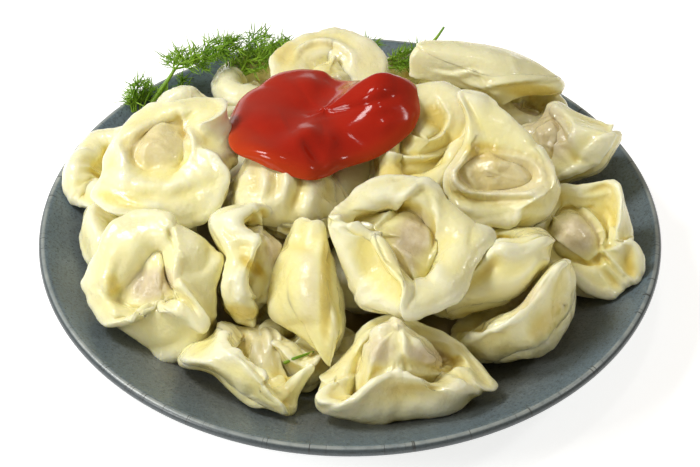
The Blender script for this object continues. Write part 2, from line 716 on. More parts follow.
# How the free form's outlines and folds move to where they show.
PULLS = {
    0: (
        Pull((236, 113), (234, 117), 14), Pull((240, 136), (230, 136), 20),
        Pull((262, 86), (256, 84), 20), Pull((300, 72), (302, 68), 24),
        Pull((346, 79), (338, 77), 20), Pull((391, 73), (388, 73), 24),
        Pull((419, 86), (413, 94), 22), Pull((404, 127), (408, 128), 24),
        Pull((370, 151), (372, 154), 24), Pull((295, 177), (305, 179), 24),
        Pull((255, 155), (252, 156), 22),
    ),
    1: (
        Pull((192, 256), (174, 250), 26), Pull((198, 287), (176, 280), 26),
        Pull((162, 290), (165, 304), 22), Pull((180, 312), (182, 304), 22),
        Pull((145, 311), (142, 312), 22), Pull((122, 288), (120, 297), 24),
        Pull((78, 270), (88, 268), 26), Pull((84, 310), (97, 303), 26),
        Pull((105, 337), (112, 332), 26), Pull((160, 207), (155, 213), 26),
        Pull((210, 228), (206, 230), 24), Pull((222, 270), (228, 264), 24),
        Pull((224, 296), (215, 303), 24), Pull((170, 350), (165, 362), 26),
        Pull((203, 334), (205, 342), 22),
    ),
    2: (
        Pull((222, 255), (229, 254), 20), Pull((232, 225), (212, 216), 24),
        Pull((254, 216), (256, 206), 22), Pull((252, 331), (250, 325), 24),
        Pull((285, 268), (289, 252), 20), Pull((270, 242), (268, 228), 20),
        Pull((284, 300), (275, 300), 24), Pull((248, 262), (262, 240), 20),
        Pull((226, 290), (226, 292), 20),
    ),
    3: (
        Pull((306, 395), (292, 404), 24), Pull((312, 378), (299, 388), 22),
        Pull((270, 415), (270, 411), 26), Pull((260, 362), (249, 367), 22),
        Pull((288, 372), (272, 393), 22), Pull((230, 345), (227, 348), 22),
        Pull((215, 333), (215, 340), 22), Pull((215, 388), (212, 376), 24),
        Pull((205, 360), (186, 360), 24),
    ),
    5: (
        Pull((283, 235), (296, 232), 24), Pull((312, 222), (320, 217), 24),
        Pull((278, 262), (284, 262), 22), Pull((276, 295), (274, 300), 24),
        Pull((277, 320), (273, 318), 22), Pull((303, 358), (323, 366), 26),
        Pull((335, 290), (338, 292), 26), Pull((330, 330), (336, 335), 24),
        Pull((288, 345), (300, 345), 22),
    ),
    6: (
        Pull((335, 251), (334, 224), 28), Pull((360, 252), (353, 225), 26),
        Pull((388, 251), (373, 229), 24), Pull((381, 270), (388, 258), 24),
        Pull((379, 292), (405, 287), 26), Pull((410, 255), (412, 240), 26),
        Pull((431, 255), (435, 245), 26), Pull((400, 227), (408, 210), 26),
        Pull((470, 208), (470, 211), 28), Pull((488, 240), (493, 237), 28),
        Pull((480, 290), (472, 280), 28), Pull((415, 330), (415, 320), 28),
        Pull((450, 320), (445, 306), 28), Pull((345, 298), (343, 292), 28),
        Pull((352, 180), (350, 193), 28), Pull((395, 166), (402, 177), 28),
        Pull((432, 173), (432, 176), 28), Pull((331, 275), (334, 268), 24),
    ),
    7: (
        Pull((393, 367), (400, 368), 26), Pull((345, 388), (352, 397), 24),
        Pull((440, 385), (446, 374), 24), Pull((466, 388), (472, 386), 24),
        Pull((492, 362), (494, 382), 26), Pull((392, 337), (398, 320), 26),
        Pull((350, 362), (360, 350), 24), Pull((438, 362), (453, 354), 24),
        Pull((375, 415), (378, 422), 26), Pull((440, 410), (445, 412), 26),
        Pull((315, 385), (319, 396), 24), Pull((322, 345), (328, 366), 26),
    ),
    8: (
        Pull((500, 270), (497, 251), 22), Pull((540, 266), (547, 244), 22),
        Pull((552, 285), (548, 266), 22), Pull((486, 284), (478, 274), 22),
        Pull((480, 302), (452, 303), 24), Pull((515, 295), (505, 296), 24),
    ),
    9: (
        Pull((510, 336), (503, 322), 24), Pull((545, 320), (534, 300), 24),
        Pull((566, 296), (562, 262), 26), Pull((576, 318), (568, 300), 24),
        Pull((520, 364), (518, 358), 26), Pull((465, 345), (462, 345), 24),
        Pull((556, 345), (548, 345), 22),
    ),
    10: (
        Pull((582, 238), (576, 233), 28), Pull((545, 250), (552, 236), 26),
        Pull((612, 245), (604, 240), 24), Pull((580, 275), (584, 262), 26),
        Pull((615, 222), (622, 238), 22), Pull((600, 300), (617, 300), 26),
        Pull((645, 262), (643, 268), 26), Pull((605, 185), (612, 180), 24),
    ),
    13: (
        Pull((185, 163), (160, 146), 32), Pull((152, 165), (133, 152), 26),
        Pull((213, 158), (190, 150), 26), Pull((185, 193), (168, 170), 26),
        Pull((188, 135), (168, 122), 26), Pull((101, 166), (97, 180), 26),
        Pull((105, 192), (90, 198), 24), Pull((130, 210), (122, 212), 24),
        Pull((190, 95), (186, 95), 26), Pull((237, 175), (229, 168), 26),
        Pull((230, 110), (229, 112), 26), Pull((175, 214), (172, 210), 26),
    ),
    16: (
        Pull((512, 165), (497, 178), 26), Pull((485, 180), (456, 176), 24),
        Pull((540, 160), (541, 178), 24), Pull((515, 128), (500, 158), 24),
        Pull((510, 205), (500, 197), 22), Pull((456, 182), (444, 180), 24),
        Pull((495, 236), (500, 231), 24), Pull((550, 216), (553, 222), 24),
        Pull((566, 150), (554, 160), 24), Pull((510, 95), (502, 97), 26),
        Pull((545, 110), (530, 118), 24), Pull((470, 110), (470, 105), 24),
    ),
    17: (
        Pull((576, 140), (552, 136), 28), Pull((602, 89), (604, 118), 28),
        Pull((616, 130), (623, 134), 24), Pull((575, 88), (566, 103), 26),
        Pull((602, 180), (592, 169), 26), Pull((555, 190), (556, 183), 24),
    ),
    19: (
        Pull((280, 62), (269, 63), 24), Pull((295, 39), (288, 37), 24),
        Pull((325, 32), (328, 28), 24), Pull((358, 41), (365, 38), 24),
        Pull((371, 62), (384, 60), 24),
    ),
    21: (
        Pull((404, 74), (412, 51), 26), Pull((443, 47), (424, 40), 26),
        Pull((500, 45), (490, 46), 26), Pull((547, 70), (563, 87), 28),
        Pull((478, 93), (493, 97), 26), Pull((432, 85), (432, 68), 26),
        Pull((525, 87), (534, 96), 26),
    ),
    28: (Pull((385, 315), (358, 315), 35), Pull((440, 315), (452, 318), 30)),
}

# What the pulled form still lacks.
LATER_PULLS = {
    0: (
        Pull((244, 130), (229, 130), 18), Pull((251, 108), (232, 103), 18),
        Pull((264, 87), (246, 81), 18), Pull((286, 76), (276, 72), 18),
        Pull((246, 148), (233, 147), 16), Pull((258, 164), (254, 159), 16),
        Pull((282, 173), (278, 169), 14),
    ),
    3: (
        Pull((246, 337), (263, 327), 20), Pull((259, 352), (281, 338), 20),
        Pull((272, 377), (285, 366), 18), Pull((301, 385), (314, 364), 16),
        Pull((300, 402), (298, 402), 14), Pull((235, 370), (235, 370), 24),
    ),
    4: (
        Pull((268, 328), (262, 328), 18), Pull((284, 370), (278, 376), 18),
        Pull((301, 382), (306, 396), 18),
    ),
    6: (
        Pull((337, 288), (349, 289), 20), Pull((362, 303), (359, 303), 20),
        Pull((392, 321), (400, 317), 20), Pull((440, 309), (442, 313), 20),
    ),
    8: (Pull((500, 237), (500, 229), 22), Pull((532, 235), (532, 227), 22)),
    12: (
        Pull((100, 222), (94, 204), 26), Pull((84, 245), (86, 238), 24),
        Pull((130, 218), (132, 206), 24),
    ),
    15: (
        Pull((462, 95), (464, 97), 20), Pull((469, 112), (475, 116), 20),
        Pull((466, 132), (477, 134), 20), Pull((440, 80), (440, 80), 20),
    ),
    16: (
        Pull((484, 112), (464, 92), 18), Pull((468, 132), (467, 118), 18),
        Pull((455, 150), (460, 148), 16), Pull((498, 104), (504, 104), 16),
        Pull((446, 172), (445, 170), 16), Pull((555, 132), (535, 134), 20),
        Pull((560, 150), (548, 153), 18), Pull((562, 178), (558, 178), 16),
    ),
    17: (
        Pull((600, 150), (607, 162), 20), Pull((582, 160), (592, 173), 18),
        Pull((618, 117), (612, 126), 14), Pull((562, 110), (556, 101), 18),
        Pull((590, 116), (590, 116), 18), Pull((572, 135), (572, 138), 18),
    ),
    21: (
        Pull((440, 77), (440, 83), 20), Pull((460, 83), (462, 89), 18),
        Pull((480, 89), (484, 95), 18), Pull((500, 97), (500, 103), 16),
        Pull((530, 97), (530, 95), 20), Pull((490, 60), (490, 60), 26),
    ),
}

# Folds, creases and lumps. The ketchup has two lobes with a valley between them, and the folds that
# it fell in.
STROKES = {
    0: (
        Stroke("ridge", 26, 2.0, ((250, 126), (272, 106), (300, 86))),
        Stroke("ridge", 12, -1.7, ((330, 84), (318, 97), (306, 110), (294, 120), (284, 126))),
        Stroke("ridge", 4, -0.8, ((312, 116), (335, 112), (365, 105), (402, 93))),
        Stroke("ridge", 13, 1.0, ((345, 96), (368, 88), (398, 88))),
        Stroke("ridge", 13, 1.0, ((322, 132), (350, 126), (388, 116))),
        Stroke("ridge", 5, 0.5, ((372, 90), (386, 92))),
        Stroke("ridge", 5, 0.5, ((374, 108), (396, 108))),
        Stroke("ridge", 5, 0.5, ((380, 128), (392, 122))),
        Stroke("ridge", 5, 0.5, ((322, 134), (336, 148))),
        Stroke("ridge", 6, -1.4, ((302, 132), (311, 146), (322, 162))),
        Stroke("ridge", 10, 1.1, ((244, 142), (268, 155), (296, 166))),
    ),
    1: (
        Stroke("lip", 7, 1.9, ((178, 300), (174, 275), (177, 248), (171, 230), (160, 217))),
        Stroke("lip", 7, 2.0, ((106, 322), (125, 318), (142, 311), (160, 305), (178, 302),
                               (197, 311))),
        Stroke("ridge", 6, -1.0, ((126, 250), (117, 275), (118, 292), (130, 306))),
        Stroke("ridge", 5, 0.8, ((160, 258), (157, 278), (160, 300))),
        Stroke("ridge", 4, -0.8, ((140, 252), (143, 275), (138, 296))),
        Stroke("ridge", 4, -0.7, ((197, 311), (206, 320), (213, 331))),
        Stroke("ridge", 14, 1.2, ((135, 232), (140, 250), (146, 268))),
    ),
    2: (
        Stroke("lip", 5, 1.8, ((257, 205), (262, 222), (260, 240), (263, 251))),
        Stroke("ridge", 4, -0.9, ((228, 249), (245, 247), (262, 252))),
        Stroke("ridge", 5, -2.2, ((239, 256), (250, 265), (264, 278))),
        Stroke("lip", 4, 1.0, ((262, 286), (256, 300), (236, 291))),
        Stroke("ridge", 12, 1.5, ((240, 285), (250, 305), (256, 318))),
    ),
    3: (
        Stroke("lip", 5, 1.3, ((222, 345), (250, 367), (272, 394), (283, 404))),
        Stroke("ridge", 3, -0.8, ((236, 330), (243, 340), (247, 352))),
        Stroke("ridge", 3, -0.8, ((256, 328), (262, 340), (263, 353))),
        Stroke("ridge", 3, -0.8, ((272, 330), (277, 342), (276, 355))),
        Stroke("ridge", 3, 0.8, ((246, 328), (253, 340), (255, 354))),
        Stroke("ridge", 3, 0.8, ((265, 328), (270, 341), (270, 355))),
    ),
    4: (
        Stroke("lip", 5, 1.2, ((330, 352), (312, 368), (300, 388), (294, 404))),
        Stroke("ridge", 5, -0.8, ((300, 345), (306, 350), (318, 355))),
    ),
    5: (
        Stroke("ridge", 26, 3.5, ((306, 250), (300, 285), (302, 325))),
        Stroke("ridge", 5, -1.2, ((328, 232), (327, 265), (330, 300), (326, 340))),
        Stroke("ridge", 4, 1.0, ((293, 246), (281, 272), (275, 300), (274, 318))),
        Stroke("ridge", 4, 0.9, ((298, 229), (296, 238), (292, 246))),
        Stroke("ridge", 5, -0.7, ((286, 330), (300, 340), (312, 353))),
    ),
    6: (
        Stroke("lip", 8, 2.2, ((334, 224), (353, 224), (373, 229), (386, 248), (398, 270),
                               (408, 291))),
        Stroke("lip", 6, 1.5, ((433, 193), (422, 187), (408, 197), (393, 213), (375, 229))),
        Stroke("lip", 6, 1.3, ((428, 262), (436, 240), (435, 215), (431, 194))),
        Stroke("ridge", 3, 0.9, ((394, 248), (408, 256), (422, 266))),
        Stroke("ridge", 3, 0.7, ((423, 208), (427, 228), (429, 250))),
        Stroke("ridge", 3, -0.7, ((473, 224), (471, 236), (470, 248))),
        Stroke("ridge", 3, 0.7, ((390, 193), (404, 182), (424, 179), (441, 187))),
        Stroke("ridge", 10, -1.2, ((352, 240), (362, 262), (372, 280))),
        Stroke("ridge", 10, 1.0, ((350, 205), (375, 195), (398, 187))),
    ),
    7: (
        Stroke("ridge", 4, 1.5, ((398, 320), (403, 335), (405, 348), (411, 363))),
        Stroke("ridge", 4, 1.1, ((396, 323), (378, 330), (362, 336))),
        Stroke("ridge", 4, 1.1, ((405, 346), (425, 340), (447, 343), (456, 362))),
        Stroke("ridge", 3, 0.9, ((405, 350), (394, 362))),
        Stroke("lip", 6, 1.6, ((325, 410), (352, 397), (366, 387), (381, 374), (402, 368),
                               (426, 370), (447, 374), (471, 386), (490, 399))),
        Stroke("lip", 5, 1.0, ((322, 388), (340, 380), (360, 372))),
        Stroke("ridge", 9, -1.0, ((385, 395), (410, 392), (440, 396))),
        Stroke("ridge", 9, 1.0, ((380, 412), (415, 408), (445, 404))),
    ),
    8: (
        Stroke("ridge", 4, 1.0, ((480, 275), (497, 252), (520, 246), (547, 243))),
        Stroke("ridge", 5, -1.0, ((470, 290), (488, 270), (500, 262))),
    ),
    9: (
        Stroke("lip", 6, 1.3, ((455, 333), (480, 331), (503, 323), (535, 299), (561, 262))),
        Stroke("ridge", 4, -1.2, ((497, 314), (485, 312), (478, 322), (484, 333), (496, 334))),
        Stroke("ridge", 8, -0.9, ((545, 330), (562, 300), (570, 275))),
    ),
    10: (
        Stroke("lip", 5, 1.6, ((600, 252), (600, 235), (588, 217), (574, 206))),
        Stroke("lip", 5, 1.4, ((590, 263), (568, 247), (548, 233))),
        Stroke("lip", 4, 1.2, ((640, 290), (618, 270), (602, 253), (588, 262))),
        Stroke("lip", 5, 1.4, ((600, 252), (616, 246), (632, 237))),
        Stroke("ridge", 5, -1.6, ((630, 243), (627, 262), (634, 278))),
        Stroke("ridge", 5, -1.5, ((600, 265), (612, 280), (622, 290))),
        Stroke("ridge", 3, 0.8, ((560, 193), (590, 196), (612, 192))),
        Stroke("ridge", 3, -0.8, ((604, 205), (612, 220), (614, 236))),
    ),
    11: (
        Stroke("ridge", 4, -1.0, ((109, 142), (105, 158), (93, 172))),
        Stroke("ridge", 8, -0.8, ((92, 150), (84, 170), (78, 188))),
    ),
    12: (
        Stroke("ridge", 5, -1.0, ((95, 205), (120, 214), (145, 213))),
    ),
    13: (
        Stroke("lip", 6, 2.0, ((176, 173), (188, 162), (192, 145), (185, 127), (180, 112))),
        Stroke("ridge", 5, 1.2, ((112, 146), (126, 136), (146, 127), (166, 119), (178, 115))),
        Stroke("ridge", 4, 1.1, ((94, 184), (117, 197), (146, 206), (172, 203))),
        Stroke("ridge", 4, -1.3, ((133, 191), (166, 198), (195, 189), (224, 176))),
        Stroke("ridge", 5, 1.8, ((116, 142), (121, 153), (128, 166))),
        Stroke("ridge", 4, -1.0, ((134, 146), (133, 158), (140, 168))),
        Stroke("ridge", 14, 1.3, ((150, 182), (120, 178), (108, 170))),
    ),
    14: (
        Stroke("ridge", 6, -1.9, ((299, 163), (302, 183), (295, 203), (290, 223))),
        Stroke("ridge", 4, -0.9, ((270, 168), (276, 180), (274, 196))),
        Stroke("ridge", 4, -0.8, ((250, 160), (256, 176), (252, 192))),
        Stroke("ridge", 4, 0.8, ((262, 166), (266, 182), (262, 200))),
        Stroke("ridge", 4, 0.9, ((284, 164), (287, 182), (282, 200))),
        Stroke("ridge", 9, 1.6, ((312, 190), (308, 208), (314, 222))),
        Stroke("ridge", 5, -1.0, ((325, 168), (330, 186), (322, 200))),
    ),
    15: (
        Stroke("lip", 5, 1.7, ((408, 118), (410, 133), (424, 140), (440, 134), (448, 118),
                               (440, 102))),
        Stroke("lip", 5, 1.6, ((362, 150), (385, 150), (410, 156), (436, 153), (458, 140),
                               (470, 122))),
        Stroke("ridge", 4, -1.0, ((356, 158), (390, 164), (425, 164), (455, 156))),
        Stroke("ridge", 5, 1.0, ((352, 160), (366, 176), (385, 182))),
        Stroke("ridge", 8, 1.4, ((450, 92), (462, 106), (466, 124))),
    ),
    16: (
        Stroke("lip", 5, 1.8, ((545, 186), (530, 196), (500, 198), (472, 197), (455, 186),
                               (452, 172), (462, 160))),
        Stroke("ridge", 3, 1.0, ((443, 168), (441, 182), (448, 195), (462, 207), (482, 215))),
        Stroke("ridge", 3, -0.8, ((447, 172), (446, 184), (453, 195), (466, 204))),
        Stroke("lip", 6, 0.8, ((470, 150), (500, 152), (530, 158), (546, 172))),
        Stroke("ridge", 4, 1.1, ((466, 164), (470, 178), (480, 190))),
        Stroke("ridge", 5, 1.0, ((484, 166), (492, 176), (500, 184))),
        Stroke("ridge", 5, 1.0, ((510, 166), (520, 174), (530, 184))),
        Stroke("ridge", 5, -0.9, ((488, 205), (515, 210), (545, 208))),
        Stroke("ridge", 4, -1.0, ((548, 165), (551, 185), (549, 205))),
    ),
    17: (
        Stroke("lip", 5, 1.5, ((575, 168), (583, 152), (594, 138), (612, 132))),
        Stroke("lip", 5, 1.3, ((575, 152), (560, 124), (540, 106))),
        Stroke("ridge", 4, 0.9, ((548, 120), (556, 134), (552, 150))),
        Stroke("ridge", 3, 0.7, ((536, 126), (542, 140), (540, 154))),
        Stroke("ridge", 4, -0.9, ((566, 150), (578, 160), (598, 158))),
    ),
    18: (
        Stroke("ridge", 4, 1.0, ((176, 92), (205, 88), (232, 94))),
        Stroke("ridge", 4, -1.0, ((208, 104), (215, 98), (228, 100))),
    ),
    19: (
        Stroke("lip", 5, 1.6, ((352, 72), (350, 56), (336, 46), (318, 43), (302, 50), (294, 64))),
        Stroke("ridge", 4, -0.9, ((284, 66), (290, 50), (308, 38), (334, 36), (356, 48))),
        Stroke("ridge", 3, 0.8, ((312, 58), (326, 54), (340, 60))),
    ),
    21: (
        Stroke("lip", 5, 1.3, ((561, 79), (530, 82), (502, 85), (478, 88), (462, 82))),
        Stroke("lip", 4, 1.4, ((434, 70), (454, 73), (473, 69), (478, 78), (486, 88))),
        Stroke("ridge", 9, 1.2, ((440, 48), (480, 56), (525, 68))),
        Stroke("ridge", 5, 0.6, ((508, 56), (516, 66))),
        Stroke("ridge", 4, 1.2, ((474, 84), (492, 90), (500, 98))),
    ),
}

# Where the filling shows through, and where it doesn't.
PATCHES = {
    1: (Patch((150, 262), (52, 56), 0, 0), Patch((152, 284), (25, 17), -20, 0.95)),
    2: (Patch((255, 290), (45, 36), 0, 0), Patch((278, 248), (13, 20), 0, 1)),
    3: (Patch((265, 345), (35, 18), 30, 0.35),),
    4: (Patch((300, 345), (60, 60), 0, 0.15),),
    5: (Patch((305, 290), (50, 90), 0, 0), Patch((309, 290), (10, 45), 0, 0.3)),
    6: (Patch((400, 250), (90, 80), 0, 0), Patch((412, 238), (20, 27), 20, 1),
        Patch((408, 264), (13, 9), 40, 0.7)),
    7: (Patch((405, 365), (100, 50), 0, 0.12), Patch((380, 350), (15, 15), 0, 0.75),
        Patch((428, 356), (22, 10), 12, 1)),
    8: (Patch((505, 265), (60, 50), 0, 0),),
    9: (Patch((515, 310), (70, 60), 0, 0), Patch((520, 295), (22, 14), -35, 0.8)),
    10: (Patch((595, 240), (60, 70), 0, 0), Patch((576, 234), (24, 20), 20, 0.9)),
    11: (Patch((95, 165), (40, 60), 0, 0),),
    12: (Patch((110, 230), (60, 60), 0, 0),),
    13: (Patch((160, 155), (80, 70), 0, 0), Patch((158, 143), (36, 24), -18, 0.6)),
    14: (Patch((285, 195), (60, 50), 0, 0.15), Patch((272, 180), (22, 18), 0, 0.4)),
    15: (Patch((420, 130), (70, 60), 0, 0.1),),
    16: (Patch((500, 165), (70, 80), 0, 0), Patch((500, 174), (56, 25), 4, 0.6)),
    17: (Patch((570, 140), (70, 60), 0, 0), Patch((548, 130), (22, 34), -30, 0.8)),
    18: (Patch((200, 95), (70, 40), 0, 0),),
    19: (Patch((325, 55), (70, 40), 0, 0.15),),
    20: (Patch((450, 85), (70, 40), 0, 0.1),),
    21: (Patch((490, 65), (90, 50), 0, 0),),
}

# Where the dough looks a deeper yellow or, below 0, paler.
DEEPS = {
    1: (Patch((150, 262), (75, 80), 0, -0.4), Patch((113, 285), (8, 12), 0, 0.5)),
    2: (Patch((252, 266), (16, 6), 38, 1), Patch((245, 312), (22, 8), 10, 0.5)),
    5: (Patch((325, 290), (7, 60), 0, 0.6),),
    6: (Patch((385, 265), (20, 36), -28, 0.1),),
    9: (Patch((548, 322), (30, 12), -45, 0.6),),
    13: (Patch((120, 200), (28, 8), 15, 0.4),),
    15: (Patch((433, 116), (12, 13), 0, 0.9), Patch((392, 172), (30, 9), 8, 0.6)),
    16: (Patch((484, 152), (22, 10), 10, 1),),
    19: (Patch((284, 52), (14, 16), -40, 0.5),),
    21: (Patch((480, 62), (85, 24), 8, -0.7), Patch((533, 91), (34, 8), 4, 0.9)),
}

# Where the dough lies smooth.
CALM = {
    1: (Patch((196, 238), (26, 34), 0, 1), Patch((150, 335), (45, 22), 0, 0.8),
        Patch((135, 268), (44, 44), 0, 0.8)),
    3: (Patch((276, 391), (14, 12), 0, 1),),
    5: (Patch((302, 288), (26, 60), -8, 1),),
    6: (Patch((362, 222), (24, 12), 0, 1), Patch((460, 230), (30, 50), 0, 0.8),
        Patch((412, 242), (30, 36), 10, 0.7)),
    7: (Patch((350, 368), (14, 30), 0, 0.9), Patch((441, 379), (16, 10), 0, 0.9)),
    10: (Patch((578, 236), (36, 32), 20, 0.9),),
    13: (Patch((130, 180), (40, 25), 0, 0.7), Patch((158, 147), (46, 36), -18, 1)),
    15: (Patch((425, 130), (60, 60), 0, 1),),
    16: (Patch((505, 125), (45, 30), 0, 0.8), Patch((500, 174), (52, 26), 0, 0.9),
         Patch((490, 198), (42, 10), 0, 0.9), Patch((486, 148), (12, 9), 0, 1)),
    17: (Patch((550, 126), (20, 18), 0, 1),),
    21: (Patch((490, 65), (90, 50), 0, 0.9),),
}
CALM_PASSES = 160

# How high, in millimetres, a smooth skin stretches over a pelmen's inside instead of its hollow.
DOMES = {5: 5.0}

# How far, in millimetres, the filling stands up in a pelmen's hollow.
FLOORS = {1: 4.5, 10: 2.5, 13: 2.5, 16: 6.0, 17: 4.0}

# --- Moving and carving a skin ---
PATCH_EDGE = (0.75, 1.2)
PATCH_SOFT_EDGE = (0.5, 1.3)
FLOOR_RISE = (0.60, 0.82)
DOME_PASSES = 3
DOME_BLEND = (0.48, 0.53)
PULL_EASE = 0.02


def cover_of(pixels, patch, soft=PATCH_EDGE):
    """How far each pixel lies inside a patch, from 0 to 1."""
    turn = math.radians(patch.turned)
    apart = pixels - np.array(patch.middle)
    along = (apart @ np.array((math.cos(turn), math.sin(turn)))) / patch.half[0]
    over = (apart @ np.array((-math.sin(turn), math.cos(turn)))) / patch.half[1]
    return 1 - step_up(np.hypot(along, over), *soft)


def calmed(grid, patches):
    """The grid eased smooth inside patches."""
    if not patches:
        return grid
    eased = blurred(grid, CALM_PASSES)
    pixels = pixels_of(grid.reshape(-1, 3))
    cover = np.zeros(len(pixels))
    for patch in patches:
        cover = np.maximum(cover, patch.share * cover_of(pixels, patch))
    return grid + (eased - grid) * cover.reshape(grid.shape[:2])[:, :, None]


def lip_plane(ring):
    """The middle of a ring of points and the direction that it faces."""
    middle = ring.mean(axis=0)
    axis = np.cross(ring - middle, np.roll(ring, -1, axis=0) - middle).sum(axis=0)
    return middle, axis / np.linalg.norm(axis)


def floored(grid, stations, height):
    """The grid with the filling in its hollow raised."""
    _, axis = lip_plane(grid[len(grid) // 2])
    return grid + axis * height * MM * step_up(stations, *FLOOR_RISE)[:, None, None]


def domed(grid, stations, height):
    """The grid with its inside, from the lip to the top pole, stretched over as a smooth dome."""
    lip = int(np.searchsorted(stations, EDGE))
    ring = blurred(grid, DOME_PASSES)[lip]
    middle, axis = lip_plane(ring)
    spread = ring - middle
    share = np.clip((stations - stations[lip]) / (1 - stations[lip]), 0, 1)[:, None, None]
    turn = share * math.pi / 2
    dome = middle + spread[None] * np.cos(turn) + axis * height * MM * np.sin(turn)
    inside = step_up(stations, *DOME_BLEND)[:, None, None]
    return grid + (dome - grid) * inside


def warped(grid, pulls):
    """Move the dough across the camera's view, and keep its depth."""
    if not pulls:
        return grid
    flat = grid.reshape(-1, 3)
    pixels = pixels_of(flat)
    starts = np.array([pull.start for pull in pulls], float)
    moves = np.array([pull.end for pull in pulls], float) - starts
    reaches = np.array([pull.reach for pull in pulls], float)
    between = np.linalg.norm(starts[:, None] - starts[None], axis=2)
    shared = np.exp(-(between / reaches[None]) ** 2) + PULL_EASE * np.eye(len(pulls))
    weights = np.linalg.solve(shared, moves)
    apart = np.linalg.norm(pixels[:, None] - starts[None], axis=2)
    move = np.exp(-(apart / reaches[None]) ** 2) @ weights
    scale = ((flat - CAMERA_PLACE) @ AHEAD / PIXELS)[:, None]
    flat = flat + scale * (move[:, :1] * RIGHTWARD - move[:, 1:] * UPWARD)
    return flat.reshape(grid.shape)


def patched(pixels, mark, patches):
    """A mark with its patches laid over it."""
    for patch in patches:
        mark = mark + (patch.share - mark) * cover_of(pixels, patch, PATCH_SOFT_EDGE)
    return mark


def skin_tree(grid):
    """A grid's quads, to be asked what a line hits."""
    rows, columns = grid.shape[:2]
    quads = [face for face in grid_faces(rows, columns) if max(face) < rows * columns]
    return BVHTree.FromPolygons([Vector(point) for point in grid.reshape(-1, 3)], quads)


SKIN_START = 0.1 * MM
SKIN_REACH = 12 * MM
SKIN_STEP = 2
SKIN_ROOM = 0.4


def limited(grid, normals, lift, first, last):
    """Lifts cut down so that the skin never passes through its own other side, between two rows."""
    rows, columns = grid.shape[:2]
    tree = skin_tree(grid)
    room = np.full((rows, columns), 1.0)
    for row in range(first, last, SKIN_STEP):
        for column in range(0, columns, SKIN_STEP):
            way = Vector(normals[row, column] * math.copysign(1, lift[row, column]))
            start = Vector(grid[row, column]) + way * SKIN_START
            reached = tree.ray_cast(start, way, SKIN_REACH)[3]
            if reached is not None:
                room[row:row + SKIN_STEP, column:column + SKIN_STEP] = reached
    beside_it = np.minimum(np.roll(room, SKIN_STEP, 1), np.roll(room, -SKIN_STEP, 1))
    room = blurred(np.minimum(room, beside_it), 2)
    return np.clip(lift, -SKIN_ROOM * room, SKIN_ROOM * room)


def smooth_line(points, steps=8):
    """A smooth curve through points, as many short straight pieces."""
    points = np.array(points, float)
    if len(points) == 2:
        return points[0] + (points[1] - points[0]) * np.linspace(0, 1, steps)[:, None]
    knots = np.arange(len(points), dtype=float)
    places = np.linspace(0, len(points) - 1, steps * (len(points) - 1))
    return smooth_between(knots, points[:, None, :], places)[:, 0]


def beside(pixels, line):
    """Signed distance of pixels from a line, plus to its right, and how far along it they are."""
    start, way = line[:-1], np.diff(line, axis=0)
    offset = pixels[:, None, :] - start[None]
    share = np.clip((offset * way).sum(axis=2) / (way ** 2).sum(axis=1), 0, 1)
    apart = offset - share[:, :, None] * way
    distance = np.linalg.norm(apart, axis=2)
    nearest = distance.argmin(axis=1)
    each = np.arange(len(pixels))
    cross = way[nearest, 0] * offset[each, nearest, 1] - way[nearest, 1] * offset[each, nearest, 0]
    along = (nearest + share[each, nearest]) / len(start)
    return distance[each, nearest] * np.sign(cross), along


STROKE_ENDS = (0.02, 0.98)
LIP_DROP = 0.55
LIP_DROP_WIDTH = 0.8


def stroke_height(stroke, side, along):
    """How far a stroke lifts the skin, in millimetres."""
    fade = np.clip(np.sin(math.pi * np.clip(along, *STROKE_ENDS)), 0, 1) ** 0.5
    share = side / stroke.width
    if stroke.kind == "ridge":
        return stroke.height * fade * np.exp(-share ** 2)
    drop = -LIP_DROP * np.exp(-(share / LIP_DROP_WIDTH) ** 2)
    return stroke.height * fade * np.where(share > 0, np.exp(-share ** 2), drop)


STROKE_SPAN = 3
STROKE_FAINT = 0.01
STROKE_BEHIND = 1.5 * MM


def carve(grid, normals, strokes):
    """Lift and sink the skin that the camera sees along strokes."""
    if not strokes:
        return grid
    rows, columns = grid.shape[:2]
    flat, facing = grid.reshape(-1, 3).copy(), normals.reshape(-1, 3)
    pixels = pixels_of(flat)
    towards = CAMERA_PLACE - flat
    turned = (facing * towards).sum(axis=1) > 0
    tree = skin_tree(grid)
    eye = Vector(CAMERA_PLACE)
    seen = {}
    lift = np.zeros(len(flat))
    for stroke in strokes:
        line = smooth_line(stroke.points)
        span = STROKE_SPAN * stroke.width
        low, high = line.min(axis=0) - span, line.max(axis=0) + span
        near = np.flatnonzero(turned & (pixels > low).all(axis=1) & (pixels < high).all(axis=1))
        if not len(near):
            continue
        side, along = beside(pixels[near], line)
        height = stroke_height(stroke, side, along)
        for index, value in zip(near, height):
            if abs(value) < STROKE_FAINT:
                continue
            if index not in seen:
                ray = Vector(flat[index]) - eye
                _, _, _, reached = tree.ray_cast(eye, ray.normalized())
                seen[index] = reached is None or reached > ray.length - STROKE_BEHIND
            if seen[index]:
                lift[index] += value * MM
    lift = limited(grid, normals, blurred(lift.reshape(rows, columns), 2), 0, rows)
    return grid + normals * lift[:, :, None]


# --- Pelmeni ---
FINE_ROWS = 124
FINE_COLUMNS = 180
PLAIN_ROWS = 40
PLAIN_COLUMNS = 60
MEAT_LUMP = 0.9 * MM
MEAT_GRAIN = 0.15 * MM
SOFTNESS = 0.55 * MM
WRINKLE = 0.40 * MM
LIP_WAVE = 0.60 * MM
LIP_THIN = 0.55 * MM
LIP_GROOVE = 0.25 * MM
ROLL = 2.6 * MM
HOLLOW_PASSES = 60
HOLLOW_DEPTH = 1.0 * MM
PLEATS = (3, 6)
PLEAT_WIDTH = (5, 11)
PLEAT_HEIGHT = (0.6 * MM, 1.7 * MM)

